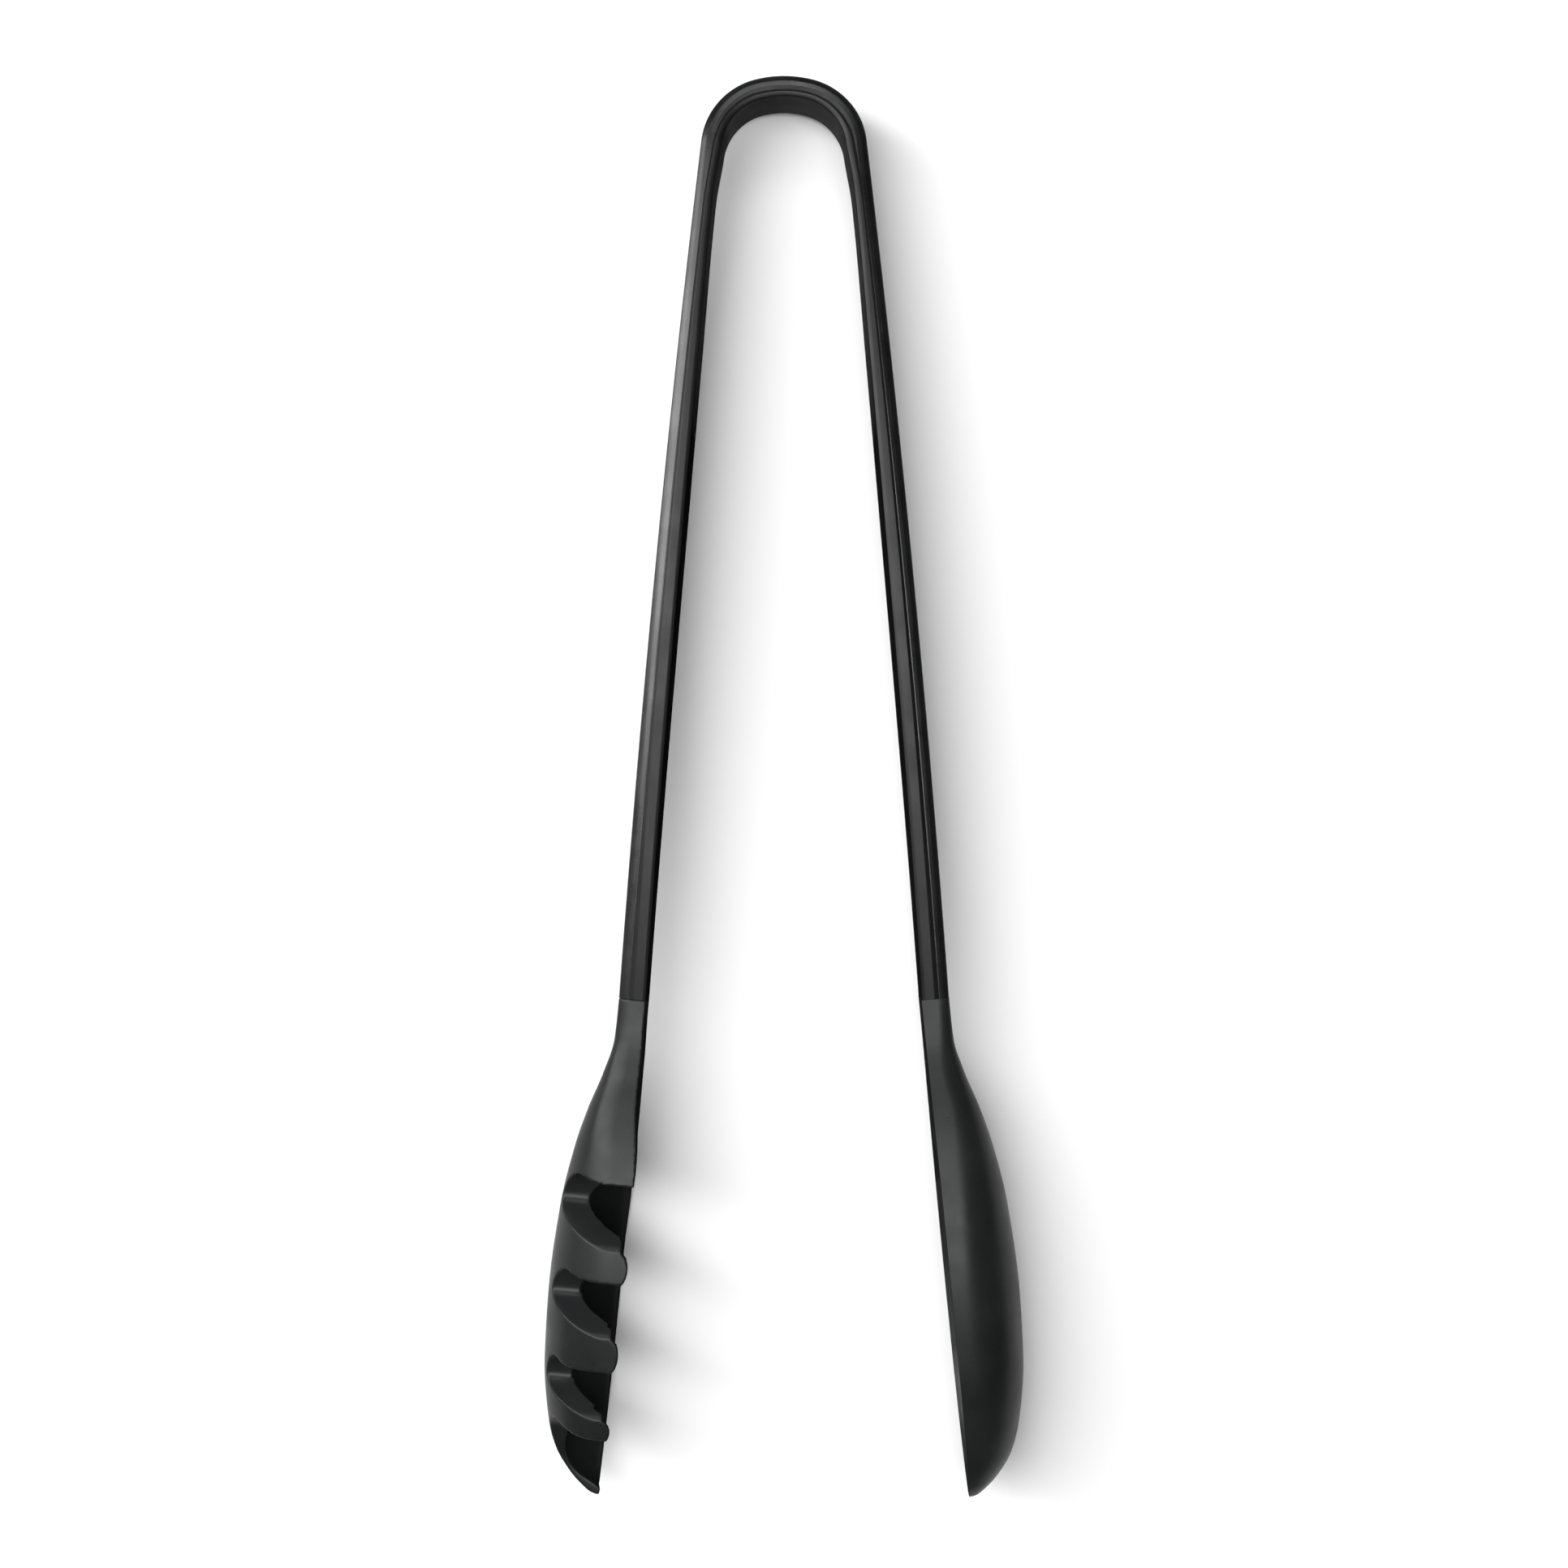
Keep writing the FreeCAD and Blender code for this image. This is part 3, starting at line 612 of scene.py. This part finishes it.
def moulded_nylon(name, dark, light, rough, rough_sides=None, lines=0.0, specular=0.5):
    """Moulded nylon: fine spark-eroded grain, slow changes of tone and gloss, sides that may
    be rougher than the top, dull faces towards the other arm, and, with lines, faint drawing
    lines along the band."""
    graph = Graph(name)
    place = graph.node("ShaderNodeTexCoord").outputs["Object"]
    cloud = noise(graph, place, 55.0, 5.0).outputs["Fac"]
    grain = noise(graph, place, 5200.0, 2.0, 0.6).outputs["Fac"]
    speck = noise(graph, place, 1500.0, 3.0, 0.7).outputs["Fac"]
    tone = graph.node("ShaderNodeMix", {
        "Factor": remap(graph, cloud, 0.35, 0.68, 0.0, 1.0)}, data_type="RGBA")
    tone.inputs["A"].default_value = (*dark, 1)
    tone.inputs["B"].default_value = (*light, 1)
    fleck = graph.node("ShaderNodeMix", {
        "Factor": remap(graph, speck, 0.62, 0.78, 0.0, 0.35), "A": tone.outputs["Result"]},
        data_type="RGBA")
    fleck.inputs["B"].default_value = (*[2.2 * c for c in light], 1)
    graph.link(fleck.outputs["Result"], "Base Color")
    gloss = noise(graph, place, 130.0, 4.0).outputs["Fac"]
    uneven = remap(graph, gloss, 0.3, 0.7, -0.05, 0.07)
    surface = graph.node("ShaderNodeNewGeometry")
    facing = graph.node("ShaderNodeSeparateXYZ", {"Vector": surface.outputs["Normal"]})
    spot = graph.node("ShaderNodeSeparateXYZ", {"Vector": surface.outputs["Position"]})
    level = graph.node("ShaderNodeMath", {0: facing.outputs["Z"]}, operation="ABSOLUTE")
    base = remap(graph, level.outputs[0], 0.35, 0.85, rough_sides or rough, rough)
    total = graph.node("ShaderNodeMath", {0: base, 1: uneven}, operation="ADD")
    outward = graph.node("ShaderNodeMath", {
        0: facing.outputs["X"], 1: spot.outputs["X"]}, operation="MULTIPLY").outputs[0]
    dull = graph.node("ShaderNodeMath", {
        0: total.outputs[0], 1: remap(graph, outward, *MOUTH_SIDE, 0.6, 0.0)},
        operation="ADD", use_clamp=True)
    graph.link(dull.outputs[0], "Roughness")
    graph.link(remap(graph, outward, *MOUTH_SIDE, 0.0, specular), "Specular IOR Level")
    bump = graph.node("ShaderNodeBump", {
        "Height": grain, "Strength": 0.14, "Distance": 0.00004})
    wave = graph.node("ShaderNodeBump", {
        "Height": noise(graph, place, 260.0, 3.0).outputs["Fac"],
        "Strength": 0.2, "Distance": 0.00008, "Normal": bump.outputs["Normal"]})
    last = wave
    if lines:
        stretch = graph.node("ShaderNodeMapping", {"Vector": place, "Scale": (1.0, 0.012, 1.0)})
        streak = noise(graph, stretch.outputs["Vector"], 2600.0, 3.0, 0.65).outputs["Fac"]
        last = graph.node("ShaderNodeBump", {
            "Height": streak, "Strength": lines, "Distance": 0.00006,
            "Normal": wave.outputs["Normal"]})
    graph.link(last.outputs["Normal"], "Normal")
    return graph.material


def brushed_steel(name):
    """Rolled steel with fine lines along it, for the strip and the pins."""
    graph = Graph(name)
    place = graph.node("ShaderNodeTexCoord").outputs["Object"]
    stretch = graph.node("ShaderNodeMapping", {"Vector": place, "Scale": (1.0, 0.02, 1.0)})
    streak = noise(graph, stretch.outputs["Vector"], 3000.0, 3.0).outputs["Fac"]
    graph.link(remap(graph, streak, 0.3, 0.7, 0.25, 0.45), "Roughness")
    graph.shader.inputs["Base Color"].default_value = (0.56, 0.57, 0.59, 1)
    graph.shader.inputs["Metallic"].default_value = 1.0
    return graph.material


def floor_material():
    """The plain pale floor."""
    graph = Graph("studio_floor")
    graph.shader.inputs["Base Color"].default_value = (0.9, 0.9, 0.9, 1)
    graph.shader.inputs["Roughness"].default_value = 0.7
    graph.shader.inputs["Specular IOR Level"].default_value = 0.2
    return graph.material


# ---------------------------------------------------------------- floor, light and camera

FLOOR_TILT = math.radians(0.85)             # the tongs rest on their heads and on both grips
FLOOR_LEVEL = 1.4                           # height of the floor under the origin
CAMERA_HEIGHT = 571.0                       # straight above the tongs, looking down
CAMERA_Y = 1.25
CAMERA_VIEW = math.radians(31.3)


def make_camera():
    """The photo's camera: square picture, view straight down, +Y up in the picture."""
    data = bpy.data.cameras.new("camera")
    data.lens = data.sensor_width / 2 / math.tan(CAMERA_VIEW / 2)
    data.clip_start, data.clip_end = 0.01, 20
    camera = bpy.data.objects.new("camera", data)
    camera.location = (0, CAMERA_Y * MM, CAMERA_HEIGHT * MM)
    bpy.context.scene.collection.objects.link(camera)
    bpy.context.scene.camera = camera


def softbox(name, place, width, length, power):
    """A rectangular softbox aimed at the middle of the tongs. Its length runs along Y."""
    data = bpy.data.lights.new(name, "AREA")
    data.shape = "RECTANGLE"
    data.size = width
    data.size_y = length
    data.energy = power
    light = bpy.data.objects.new(name, data)
    light.location = place
    light.rotation_euler = (-Vector(place)).to_track_quat("-Z", "Y").to_euler()
    bpy.context.scene.collection.objects.link(light)


def make_studio():
    """Floor, dim surroundings and three softboxes. Places and sizes are in metres."""
    reach = 6.0
    rise = reach * math.tan(FLOOR_TILT)
    mesh = bpy.data.meshes.new("floor")
    low, high = FLOOR_LEVEL * MM - rise, FLOOR_LEVEL * MM + rise
    mesh.from_pydata([(-reach, -reach, low), (reach, -reach, low), (reach, reach, high),
                      (-reach, reach, high)], [], [(0, 1, 2, 3)])
    floor = bpy.data.objects.new("floor", mesh)
    floor.data.materials.append(floor_material())
    bpy.context.scene.collection.objects.link(floor)
    world = bpy.data.worlds.new("studio")
    bpy.context.scene.world = world
    world.use_nodes = True
    backdrop = world.node_tree.nodes["Background"]
    backdrop.inputs["Color"].default_value = (1, 1, 1, 1)
    backdrop.inputs["Strength"].default_value = 0.04
    softbox("overhead", (-0.66, 0.25, 1.28), 0.56, 3.0, 49)
    softbox("back", (-0.05, 0.98, 1.25), 0.6, 0.4, 3.2)
    softbox("side", (-1.7, 0.0, 0.5), 0.7, 2.4, 2.5)
    bpy.context.scene.view_settings.view_transform = "Standard"


# ---------------------------------------------------------------- build


def paint(piece, material):
    """Give the whole piece one material."""
    piece.data.materials.clear()
    piece.data.materials.append(material)


def build():
    shell = moulded_nylon("shell_nylon", (0.0038, 0.0040, 0.0044), (0.0060, 0.0062, 0.0067), 0.28)
    liner = moulded_nylon("liner_nylon", (0.0045, 0.0045, 0.0048), (0.0070, 0.0070, 0.0073),
                          0.36, rough_sides=0.8, lines=0.22, specular=0.22)
    head = moulded_nylon("head_nylon", (0.0100, 0.0105, 0.0108), (0.0150, 0.0156, 0.0160),
                         0.32, rough_sides=0.42, specular=0.18)
    steel = brushed_steel("spring_steel")
    layers = (
        ("shell", shell_profile, SEAM_AT, ("bow_shell", "SIDE_arm_shell"), "shell_nylon", shell),
        ("liner", liner_profile, SEAM_AT, ("bow_liner", "SIDE_arm_liner"), "liner_nylon", liner),
        ("strip", strip_profile, SEAM_AT + TANG_LENGTH, ("spring_strip",), "spring_steel", steel),
    )
    for side_name in ("left", "right"):
        for layer, profile, end, nodes, slot, material in layers:
            paint(band_piece(side_name, layer, profile, end, nodes), material)
    paint(make_fork(), head)
    paint(make_spoon(), head)
    for node in ("fork_neck_pins", "spoon_neck_pins"):
        paint(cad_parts[node], steel)
    make_camera()
    make_studio()


build()
